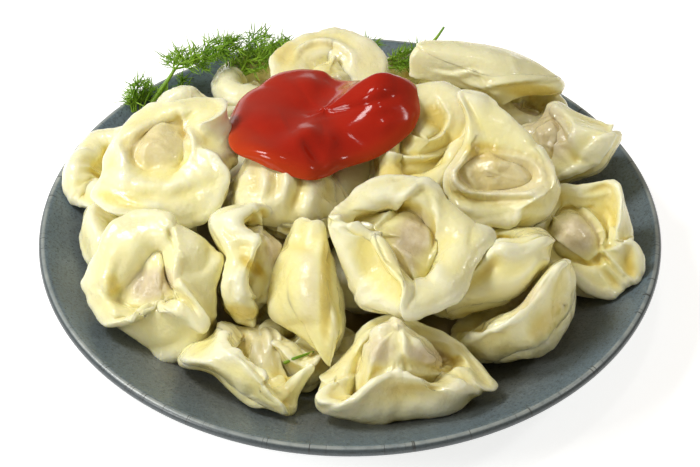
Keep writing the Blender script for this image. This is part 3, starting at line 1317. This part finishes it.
# Stretches of stations over which something begins or ends.
FILLING_STARTS = (ROOT_INSIDE + 0.01, ROOT_INSIDE + 0.13)
FILLING_ENDS = (0.06, 0.20)
INSIDE_STARTS = (ROOT_INSIDE - 0.03, ROOT_INSIDE + 0.05)
BELLY_ENDS = (0.10, ROOT_OUTSIDE)
PLEATS_START = (0.60, 0.70)
PLEATS_END = (0.90, 0.985)

# How many stations from the flap's edge something lies, and how wide it is.
LIP = (0, 0.05)
GROOVE = (0.09, 0.035)
THIN = (0.05, 0.09)
ROOTS = (0.24, 0.09)
ROLL_LENGTH = 0.235
ROLL_SHAPE = 1.3


def pleats_of(seed, angles):
    """How high the ridges of gathered dough that run down the flap stand at each angle."""
    chance = np.random.default_rng(seed + 40)
    count = chance.integers(*PLEATS)
    height = 0 * angles
    for centre in np.sort(chance.uniform(0, 360, count)):
        tall = chance.uniform(*PLEAT_HEIGHT)
        wide = chance.uniform(*PLEAT_WIDTH)
        height = height + tall * bell(angles, centre, wide)
    return height


def dough_marks(stations, angles, grid, seed):
    """Where the filling shows through and where the flap is thin, from 0 to 1."""
    inside = step_up(stations, *FILLING_STARTS)[:, None]
    outside = 0.30 * step_down(stations, *FILLING_ENDS)[:, None]
    patchy = np.clip(0.85 + 0.7 * speckle(grid, 8 * MM, seed), 0, 1)
    bare = 1 - np.clip(pleats_of(seed, angles) / PLEAT_HEIGHT[1], 0, 1)[None, :] * 0.8
    lip = hump(np.abs(stations - EDGE), *LIP)[:, None] * np.ones(grid.shape[1])
    return {"meat": (inside * bare + outside) * patchy, "lip": lip}


def round_place(angle, radius, height):
    """A place on a circle, so that noise read there closes up round a pelmen."""
    return Vector((radius * math.cos(angle), radius * math.sin(angle), height))


def dough_details(grid, stations, angles, seed):
    """How far the skin stands from the pelmen's smooth form."""
    inside = step_up(stations, *INSIDE_STARTS)[:, None]
    belly = step_down(stations, *BELLY_ENDS)[:, None]
    from_edge = np.abs(stations - EDGE)[:, None]
    lip = hump(from_edge, *LIP)
    groove = hump(from_edge, *GROOVE)
    thin = hump(from_edge, *THIN)
    roots = hump(from_edge, *ROOTS)
    roll = np.sin(math.pi * np.clip((stations - EDGE) / ROLL_LENGTH, 0, 1))[:, None] ** ROLL_SHAPE
    pleated = (step_up(stations, *PLEATS_START) * step_down(stations, *PLEATS_END))[:, None]
    turn = np.radians(angles)
    spokes = np.array([[noise.noise(round_place(angle, 7, station * 3 + seed)) for angle in turn]
                       for station in stations])
    around = [round_place(angle, 3, seed * 2.3) for angle in turn]
    edges = [noise.fractal(place, SPECKLE_FADE, SPECKLE_STEP, 3) for place in around]
    edges = np.array(edges)[None, :]
    swell = np.array([noise.noise(round_place(angle, 1, seed * 1.7)) for angle in turn])[None, :]
    return (MEAT_LUMP * (inside + 0.5 * belly) * speckle(grid, 6 * MM, seed, 2)
            + MEAT_GRAIN * inside * speckle(grid, 2 * MM, seed + 5, 2)
            + SOFTNESS * speckle(grid, 9 * MM, seed + 9, 2)
            + WRINKLE * roots * spokes
            + LIP_WAVE * lip * edges
            - LIP_THIN * thin
            - LIP_GROOVE * groove * (1 + edges)
            + ROLL * roll * (1 + 0.8 * swell)
            + pleated * pleats_of(seed, angles)[None, :])


def hollows(grid):
    """How far each point lies in a hollow, from 0 to 1, and on a crest, down to -1."""
    sunk = ((blurred(grid, HOLLOW_PASSES) - grid) * grid_normals(grid)).sum(axis=2)
    return np.clip(blurred(sunk, 3) / HOLLOW_DEPTH, -1, 1)


FLAP_ROWS = (ROOT_OUTSIDE - 0.06, ROOT_INSIDE + 0.10)
UNDER_FACING = (-0.5, 0.35)


def skin_of(seed, pelmen, node, stations, angles):
    """A pelmen's skin on its solid, before anything moves or carves it."""
    free = free_form(pelmen, seed, STATIONS, angles_round(pelmen.columns))
    pressed = pressed_form(node, free)
    grid = free_form(pelmen, seed, stations[1:-1], angles)
    grid += refined(pressed - free, (0, *STATIONS, 1), stations, len(angles))
    normals = blurred(grid_normals(grid), 2)
    lift = dough_details(grid, stations, angles, seed)
    flap = [int(row) for row in np.searchsorted(stations, FLAP_ROWS)]
    return grid + normals * limited(grid, normals, lift, *flap)[:, :, None]


def as_photographed(grid, stations, number):
    """A pelmen's skin, moved and carved to what the photo shows of it."""
    grid = warped(warped(grid, PULLS.get(number, ())), LATER_PULLS.get(number, ()))
    if number in FLOORS:
        grid = floored(grid, stations, FLOORS[number])
    if number in DOMES:
        grid = domed(grid, stations, DOMES[number])
    grid = calmed(grid, CALM.get(number, ()))
    return carve(grid, blurred(grid_normals(grid), 1), STROKES.get(number, ()))


def add_pelmen(seed, pelmen, finish):
    """The skin of one pelmen, whose number is one more than its seed."""
    number = seed + 1
    name = f"pelmen_{number:02d}"
    hidden = pelmen.columns == HIDDEN_COLUMNS
    rows, columns = (PLAIN_ROWS, PLAIN_COLUMNS) if hidden else (FINE_ROWS, FINE_COLUMNS)
    stations = np.linspace(0, 1, rows + 2)
    angles = angles_round(columns)
    grid = as_photographed(skin_of(seed, pelmen, name, stations, angles), stations, number)
    fields = dough_marks(stations, angles, grid, seed)
    fields["deep"] = hollows(grid)
    pixels = pixels_of(grid.reshape(-1, 3))
    for mark, patches in (("meat", PATCHES), ("deep", DEEPS)):
        marked = patched(pixels, fields[mark].ravel(), patches.get(number, ()))
        fields[mark] = marked.reshape(grid.shape[:2])
    fields["under"] = step_down(grid_normals(grid)[:, :, 2], *UNDER_FACING)
    marks = {mark: closed(values) for mark, values in fields.items()}
    faces = grid_faces(rows, columns)
    return add_piece(f"{name}_skin", closed(grid), faces, finish, [name], marks)


# --- Ketchup ---
SAUCE_COLUMNS = 24
SAUCE_ROWS = 90
SAUCE_FINE_COLUMNS = 200
SAUCE_LUMP = 0.35 * MM
SAUCE_GRAIN = 8 * MM
SAUCE_CALM = Patch((262, 112), (46, 36), -20, 1)
SAUCE_PASSES = 500
SAUCE_EDGE = (0.5, 0.10)


def add_ketchup(finish):
    """The ketchup as a fine skin over its solid, with its folds."""
    points, faces = corners_of("ketchup")
    under = min(poles_of(faces, SAUCE_COLUMNS), key=lambda pole: points[pole][2])
    rows = points[rings_of(faces, SAUCE_COLUMNS, under)]
    places = np.linspace(0, len(rows) - 1, SAUCE_ROWS + 2)
    grid = refined(rows, np.arange(len(rows)), places, SAUCE_FINE_COLUMNS)
    normals = blurred(grid_normals(grid), 3)
    grid += normals * (SAUCE_LUMP * speckle(grid, SAUCE_GRAIN, 3, 1))[:, :, None]
    eased = blurred(grid, SAUCE_PASSES)
    cover = cover_of(pixels_of(grid.reshape(-1, 3)), SAUCE_CALM, PATCH_SOFT_EDGE)
    grid += (eased - grid) * cover.reshape(grid.shape[:2])[:, :, None]
    grid = warped(warped(grid, PULLS[0]), LATER_PULLS[0])
    grid = carve(grid, blurred(grid_normals(grid), 3), STROKES[0])
    edge = hump(places / (len(rows) - 1), *SAUCE_EDGE)[:, None] * np.ones(SAUCE_FINE_COLUMNS)
    faces = grid_faces(SAUCE_ROWS, SAUCE_FINE_COLUMNS)
    add_piece("ketchup_sauce", closed(grid), faces, finish, ["ketchup"],
              {"thin": closed(edge)})


# --- Plate ---
PLATE_RADIUS = 95 * MM
PLATE_HEIGHT = 22 * MM
FOOT_RADIUS = 52 * MM
FOOT_WIDTH = 5 * MM
FOOT_HEIGHT = 1.5 * MM
BASE_TOP = 5 * MM
WALL_THICKNESS = 3.5 * MM
WALL_START = 50 * MM
RIM_RADIUS = PLATE_RADIUS - WALL_THICKNESS / 2
RIM_FLATNESS = 0.9
WALL_CURVE = 1.6
WALL_SPREAD = 0.35
FOOT_LIFT = 0.8 * MM
FOOT_ROUNDING = 0.4 * MM
FLOOR_STEPS = 10
WALL_STEPS = 30
UNDER_STEPS = slice(8, -2)
RIM_TURNS = range(20, 171, 15)
BASE_STEPS = 6
TURN_STEPS = 256


def plate_top(radius):
    """Height of the plate's upper face at a distance from its axis."""
    share = min(max((radius - WALL_START) / (RIM_RADIUS - WALL_START), 0), 1)
    return BASE_TOP + (PLATE_HEIGHT - BASE_TOP) * share ** WALL_CURVE


def plate_outline():
    """Half section from the top of the axis, over the rounded rim, to the underside of the axis."""
    floor = [(WALL_START * step / FLOOR_STEPS, BASE_TOP) for step in range(FLOOR_STEPS)]
    wall = [WALL_START + (RIM_RADIUS - WALL_START) * step / WALL_STEPS
            for step in range(WALL_STEPS + 1)]
    top = [(radius, plate_top(radius)) for radius in wall]
    half = WALL_THICKNESS / 2
    tall = half * RIM_FLATNESS
    lip = [(RIM_RADIUS + half * math.sin(turn), PLATE_HEIGHT - tall + tall * math.cos(turn))
           for turn in map(math.radians, RIM_TURNS)]
    under = [(radius + WALL_THICKNESS * WALL_SPREAD, plate_top(radius) - WALL_THICKNESS)
             for radius in reversed(wall[UNDER_STEPS])]
    foot_out, foot_in = FOOT_RADIUS + FOOT_WIDTH / 2, FOOT_RADIUS - FOOT_WIDTH / 2
    foot = [(foot_out + FOOT_ROUNDING, FOOT_LIFT), (foot_out - FOOT_ROUNDING, 0),
            (foot_in + FOOT_ROUNDING, 0), (foot_in - FOOT_WIDTH / 2, FOOT_HEIGHT)]
    base = [(foot[-1][0] * (1 - step / BASE_STEPS), FOOT_HEIGHT) for step in range(1, BASE_STEPS)]
    return floor + top + lip + under + foot + base + [(0, FOOT_HEIGHT)]


def add_plate(finish):
    """The plate, turned from its half section."""
    outline = plate_outline()
    rings = outline[1:-1]
    turns = np.arange(TURN_STEPS) * math.tau / TURN_STEPS
    points = [(radius * math.cos(turn), radius * math.sin(turn), height)
              for radius, height in rings for turn in turns]
    points += [(0, 0, outline[0][1]), (0, 0, outline[-1][1])]
    faces = [tuple(reversed(face)) for face in grid_faces(len(rings), TURN_STEPS)]
    add_piece("plate_glazed", points, faces, finish, ["plate"])


# --- Dill ---
class Frond(NamedTuple):
    """A stalk of dill, with its line in the photo in pixels.

    Its heights and thickness are in millimetres. Its side stalks have a length in pixels and leave
    it at an angle in degrees. A bare stalk has none.
    """

    line: tuple
    heights: tuple
    thick: float = 0.35
    sides: int = 8
    length: float = 9
    spread: float = 48


FRONDS = {
    "dill_1": (
        Frond(((133, 116), (131, 106), (129, 99)), (19, 25), 0.7, 5, 6, 35),
        Frond(((136, 114), (136, 98), (138, 80)), (19, 29), 0.8, 8, 8, 42),
        Frond(((139, 112), (142, 96), (146, 86)), (19, 28), 0.7, 7, 8, 38),
        Frond(((143, 108), (148, 96), (152, 88)), (20, 27), 0.7, 6, 7, 35),
        Frond(((134, 112), (133, 98), (135, 88)), (20, 28), 0.6, 7, 7, 45),
        Frond(((150, 104), (158, 98), (166, 94)), (20, 24), 0.6, 5, 6, 35),
    ),
    "dill_2": (
        Frond(((152, 103), (160, 91), (168, 80), (175, 69)), (21, 31), 2.0, 0),
        Frond(((174, 71), (174, 62), (181, 50)), (31, 33), 0.8, 8, 9, 55),
        Frond(((174, 70), (183, 61), (196, 54)), (31, 33), 0.8, 10, 10, 55),
        Frond(((175, 69), (188, 66), (200, 62), (206, 70)), (31, 30), 0.8, 9, 7, 50),
        Frond(((178, 92), (183, 86), (181, 76)), (21, 23), 0.7, 5, 6, 45),
    ),
    "dill_3": (
        Frond(((184, 62), (202, 54), (216, 44), (236, 41)), (31, 34), 0.9, 13, 10, 52),
        Frond(((190, 62), (210, 57), (228, 50)), (31, 33), 0.8, 11, 9, 55),
        Frond(((205, 60), (222, 54), (240, 48)), (30, 33), 0.8, 10, 9, 50),
        Frond(((212, 48), (226, 44), (234, 38)), (32, 34), 0.7, 8, 8, 60),
    ),
    "dill_4": (
        Frond(((225, 79), (231, 67), (240, 55)), (23, 29), 0.9, 7, 9, 35),
        Frond(((236, 79), (245, 64), (250, 45)), (23, 31), 1.1, 9, 9, 38),
        Frond(((236, 78), (252, 71), (268, 66)), (23, 26), 1.8, 4, 7, 30),
        Frond(((238, 58), (262, 48), (290, 40)), (28, 32), 0.9, 14, 9, 40),
        Frond(((246, 48), (256, 38), (268, 35)), (30, 33), 0.8, 8, 9, 55),
        Frond(((255, 66), (272, 54), (288, 44)), (26, 30), 0.9, 11, 10, 40),
        Frond(((240, 62), (258, 58), (276, 48)), (27, 30), 0.9, 11, 9, 40),
    ),
    "dill_5": (
        Frond(((383, 62), (400, 55), (424, 46)), (25, 28), 1.0, 12, 9, 22),
        Frond(((384, 65), (404, 61), (428, 57)), (24, 27), 1.0, 12, 8, 20),
        Frond(((386, 68), (404, 67), (424, 64)), (24, 26), 1.0, 9, 7, 20),
        Frond(((423, 47), (431, 43), (437, 37), (444, 27)), (28, 35), 1.5, 0),
        Frond(((364, 48), (370, 44), (378, 46)), (30, 32), 0.8, 7, 5, 55),
    ),
}
BARE_START = 0.15
STRAY_STEPS = 4
TWIG_STARTS = (0.35, 0.60, 0.82)
TWIG_LENGTH = 0.5
TWIG_SPREAD = 38
CURL_BACK = 9
RISE = 1.6
THREAD = 0.13 * MM
SIDE_THREAD = 1.3

# Chances, as shares of the numbers above and of each frond's own.
SPREADS = (0.6, 1.3)
SIDE_LENGTHS = (0.7, 1.2)
TWIG_LENGTHS = (0.6, 1.2)
CURLS = (0.2, 1.4)
RISES = (-0.6, 1)

LEAF_SPACING = 1.0 * MM
LEAF_WIDTH = 0.48 * MM
LEAF_LENGTH = 4.0 * MM
STRAND = ((284, 364), (292, 360), (303, 356), (315, 352))
STRAND_HALF = 0.55 * MM


def place_of(pixel, height):
    """The place at a height, in millimetres, that shows at a pixel."""
    way = np.array(sight(pixel))
    return CAMERA_PLACE + way * (height * MM - CAMERA_PLACE[2]) / way[2]


def stray(foot, heading, length, bend, height, rise):
    """A short bent line from a foot: its pixels and heights."""
    pixels, heights = [np.array(foot, float)], [height]
    for step in range(1, STRAY_STEPS + 1):
        turn = math.radians(heading + bend * step)
        way = np.array((math.cos(turn), math.sin(turn)))
        pixels.append(pixels[-1] + length / STRAY_STEPS * way)
        heights.append(height + rise * step / STRAY_STEPS)
    return pixels, heights


def placed(pixels, heights):
    """The places at some heights that show at some pixels."""
    return [place_of(pixel, height) for pixel, height in zip(pixels, heights)]


def frond_lines(frond, chance):
    """The stalk, its side stalks and their twigs.

    Each has its points, half its thickness, and 1 where leaves grow on it or 0 where none do.
    """
    line = smooth_line(frond.line, 6)
    heights = np.linspace(*frond.heights, len(line))
    lines = [(placed(line, heights), frond.thick / 2 * MM, 0)]
    for side in range(frond.sides):
        along = BARE_START + (1 - BARE_START) * (side + 0.5) / frond.sides
        at = int(along * (len(line) - 1))
        forward = line[min(at + 1, len(line) - 1)] - line[at - 1]
        hand = 1 if side % 2 else -1
        heading = math.degrees(math.atan2(forward[1], forward[0]))
        heading += hand * frond.spread * chance.uniform(*SPREADS)
        length = frond.length * (1.15 - 0.6 * along) * chance.uniform(*SIDE_LENGTHS)
        bend = -hand * CURL_BACK * chance.uniform(*CURLS)
        rise = RISE * chance.uniform(*RISES)
        pixels, rises = stray(line[at], heading, length, bend, heights[at], rise)
        lines.append((placed(pixels, rises), THREAD * SIDE_THREAD, 1))
        for twig, start in enumerate(TWIG_STARTS):
            foot = int(start * STRAY_STEPS)
            turn = heading + (TWIG_SPREAD if twig % 2 else -TWIG_SPREAD) * chance.uniform(*SPREADS)
            short = length * TWIG_LENGTH * chance.uniform(*TWIG_LENGTHS)
            rise = RISE * chance.uniform(*RISES)
            lines.append((placed(*stray(pixels[foot], turn, short, bend / 2, rises[foot], rise)),
                          THREAD, 1))
    return lines


LEAF_INPUTS = {"Leaf Length": "Float", "Leaf Spacing": "Float", "Leaf Width": "Float",
               "Seed": "Int", "Leaf Material": "Material"}
LEAF_ASKEW = (0.65, 0.65, 3.1)
LEAF_LENGTHS = (0.5, 1.15)
LEAF_TAPER = 0.25


def leaf_recipe():
    """Geometry nodes that turn lines into stalks and set thread-like leaves on the leafy ones."""
    tree = bpy.data.node_groups.new("dill leaves", "GeometryNodeTree")
    tree.interface.new_socket("Geometry", in_out="INPUT", socket_type="NodeSocketGeometry")
    for name, kind in LEAF_INPUTS.items():
        tree.interface.new_socket(name, in_out="INPUT", socket_type="NodeSocket" + kind)
    tree.interface.new_socket("Geometry", in_out="OUTPUT", socket_type="NodeSocketGeometry")
    given = tree.nodes.new("NodeGroupInput").outputs
    half, leafy = [
        made(tree, "GeometryNodeInputNamedAttribute", {"data_type": "FLOAT"}, {"Name": name})
        for name in ("half", "leafy")]
    lines = made(tree, "GeometryNodeMeshToCurve", {}, {"Mesh": given["Geometry"]})
    circle = made(tree, "GeometryNodeCurvePrimitiveCircle", {},
                  {"Resolution": 5, "Radius": 1.0})
    stalks = made(tree, "GeometryNodeCurveToMesh", {},
                  {"Curve": lines, "Profile Curve": circle, "Scale": half, "Fill Caps": True})
    bow = made(tree, "GeometryNodeCurveQuadraticBezier", {},
               {"Resolution": 3, "Start": (0, 0, 0), "Middle": (0.02, 0, 0.5), "End": (0.22, 0, 1)})
    factor = made(tree, "GeometryNodeSplineParameter")
    taper = made(tree, "ShaderNodeMapRange", {},
                 {"Value": factor, "To Min": 1.0, "To Max": LEAF_TAPER})
    width = made(tree, "ShaderNodeMath", {"operation": "DIVIDE"},
                 {0: given["Leaf Width"], 1: given["Leaf Length"]})
    narrow = made(tree, "ShaderNodeMath", {"operation": "MULTIPLY"}, {0: taper, 1: width})
    corner = made(tree, "GeometryNodeCurvePrimitiveCircle", {},
                  {"Resolution": 4, "Radius": 0.5})
    thread = made(tree, "GeometryNodeCurveToMesh", {},
                  {"Curve": bow, "Profile Curve": corner, "Scale": narrow, "Fill Caps": True})
    spots = made(tree, "GeometryNodeResampleCurve", {"mode": "LENGTH"},
                 {"Curve": lines, "Length": given["Leaf Spacing"]})
    along = made(tree, "GeometryNodeInputTangent")
    facing = made(tree, "FunctionNodeAlignRotationToVector", {"axis": "Z"}, {"Vector": along})
    askew = made(tree, "FunctionNodeRandomValue", {"data_type": "FLOAT_VECTOR"},
                 {"Min": tuple(-most for most in LEAF_ASKEW), "Max": LEAF_ASKEW,
                  "Seed": given["Seed"]})
    facing = made(tree, "FunctionNodeRotateRotation", {"rotation_space": "LOCAL"},
                  {"Rotation": facing, "Rotate By": askew})
    long = made(tree, "FunctionNodeRandomValue", {},
                {2: LEAF_LENGTHS[0], 3: LEAF_LENGTHS[1], 8: given["Seed"]}, 1)
    long = made(tree, "ShaderNodeMath", {"operation": "MULTIPLY"},
                {0: long, 1: given["Leaf Length"]})
    leaves = made(tree, "GeometryNodeInstanceOnPoints", {},
                  {"Points": spots, "Selection": leafy, "Instance": thread, "Rotation": facing,
                   "Scale": long})
    joined = tree.nodes.new("GeometryNodeJoinGeometry")
    for part in (stalks, leaves):
        tree.links.new(part, joined.inputs[0])
    whole = made(tree, "GeometryNodeRealizeInstances", {}, {"Geometry": joined.outputs[0]})
    whole = made(tree, "GeometryNodeSetMaterial", {},
                 {"Geometry": whole, "Material": given["Leaf Material"]})
    tree.links.new(whole, tree.nodes.new("NodeGroupOutput").inputs[0])
    return tree


STALK_TAPER = 0.5


def grown(name, lines, recipe, seed, leaf):
    """A mesh that the recipe grows from lines."""
    points, edges, half, leafy = [], [], [], []
    for line, radius, leaves in lines:
        edges += [(len(points) + step, len(points) + step + 1) for step in range(len(line) - 1)]
        points += [tuple(point) for point in line]
        half += [float(radius * (1 - STALK_TAPER * step / len(line))) for step in range(len(line))]
        leafy += [float(leaves)] * len(line)
    mesh = bpy.data.meshes.new(name)
    mesh.from_pydata(points, edges, [])
    for mark, values in (("half", half), ("leafy", leafy)):
        mesh.attributes.new(mark, "FLOAT", "POINT").data.foreach_set("value", values)
    sketch = bpy.data.objects.new(name, mesh)
    bpy.context.scene.collection.objects.link(sketch)
    growth = sketch.modifiers.new("growth", "NODES")
    growth.node_group = recipe
    given = {"Leaf Length": LEAF_LENGTH, "Leaf Spacing": LEAF_SPACING, "Leaf Width": LEAF_WIDTH,
             "Seed": seed, "Leaf Material": leaf}
    for item in recipe.interface.items_tree:
        if item.name in given:
            growth[item.identifier] = given[item.name]
    bpy.context.view_layer.update()
    grown_sketch = sketch.evaluated_get(bpy.context.evaluated_depsgraph_get())
    whole = bpy.data.meshes.new_from_object(grown_sketch)
    bpy.data.objects.remove(sketch)
    return whole


def add_growth(name, lines, recipe, seed, leaf):
    """A piece of dill that the recipe grows from lines."""
    whole = grown(name, lines, recipe, seed, leaf)
    whole.shade_smooth()
    piece = bpy.data.objects.new(name, whole)
    bpy.context.scene.collection.objects.link(piece)
    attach(piece, "root")
    return piece


def add_dill(recipe, leaf):
    """The feathery fronds of each sprig."""
    for order, (node, fronds) in enumerate(FRONDS.items()):
        chance = np.random.default_rng(order + 3)
        lines = [line for frond in fronds for line in frond_lines(frond, chance)]
        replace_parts(add_growth(f"{node}_fronds", lines, recipe, order, leaf), node)


def add_strand(recipe, leaf, skins):
    """One thread of dill that lies on the dough between two of the front pelmeni."""
    trees = [BVHTree.FromPolygons([vertex.co for vertex in skin.data.vertices],
                                  [face.vertices for face in skin.data.polygons]) for skin in skins]
    line = []
    for pixel in smooth_line(STRAND, 4):
        way = sight(pixel)
        reached = [tree.ray_cast(Vector(CAMERA_PLACE), way)[0] for tree in trees]
        hits = [np.array(point) for point in reached if point]
        line.append(max(hits, key=lambda point: point[2]))
    line = blurred(np.array(line)[:, None], 3)[:, 0] + np.array((0, 0, STRAND_HALF / 2))
    add_growth("dill_strand", [(line, STRAND_HALF, 0)], recipe, 0, leaf)


# --- Set ---
FLOOR_SIZE = 6
ROOM_COLOUR = (1, 0.87, 0.66)
ROOM_STRENGTH = 0.24
AIM = Vector((0, 0, 0.03))

# Each lamp's place and size, in metres, and its watts.
LAMPS = {
    "window": ((-0.45, 0.10, 0.65), 0.22, 3.4),
    "front": ((-0.55, -0.34, 0.42), 0.20, 1.9),
    "right": ((0.50, 0.0, 0.48), 0.09, 0.45),
    "lamp": ((0.02, -0.05, 0.80), 0.07, 0.3),
}


def add_floor():
    """A wide sheet of card under the plate."""
    bpy.ops.mesh.primitive_plane_add(size=FLOOR_SIZE)
    floor = bpy.context.active_object
    floor.name = "floor"
    floor.data.materials.append(floor_finish())


def add_light(name, place, size, watts):
    """A soft square lamp aimed at the food."""
    lamp = bpy.data.lights.new(name, "AREA")
    lamp.size = size
    lamp.energy = watts
    light = bpy.data.objects.new(name, lamp)
    light.location = place
    light.rotation_euler = (AIM - Vector(place)).to_track_quat("-Z", "Y").to_euler()
    bpy.context.scene.collection.objects.link(light)


def add_camera():
    """The camera that the photo was taken with."""
    lens = bpy.data.cameras.new("camera")
    lens.sensor_width = SENSOR
    lens.lens = LENS
    camera = bpy.data.objects.new("camera", lens)
    camera.location = CAMERA_PLACE
    camera.rotation_euler = (math.pi / 2 - CAMERA_DOWN, 0, 0)
    bpy.context.scene.collection.objects.link(camera)
    bpy.context.scene.camera = camera


def add_room():
    """Warm dim light from all round."""
    room = bpy.data.worlds.new("room")
    room.use_nodes = True
    background = room.node_tree.nodes["Background"]
    background.inputs["Color"].default_value = (*ROOM_COLOUR, 1)
    background.inputs["Strength"].default_value = ROOM_STRENGTH
    bpy.context.scene.world = room


noise.seed_set(WOBBLE_SEED)
add_camera()
add_room()
add_floor()
for name, lamp in LAMPS.items():
    add_light(name, *lamp)
bpy.context.scene.view_settings.view_transform = "Standard"

add_plate(glaze_finish())
dough = dough_finish()
skins = [add_pelmen(order, one, dough) for order, one in enumerate(PELMENI)]
add_ketchup(ketchup_finish())
dill = (leaf_recipe(), dill_finish())
add_dill(*dill)
add_strand(*dill, skins[2:5])
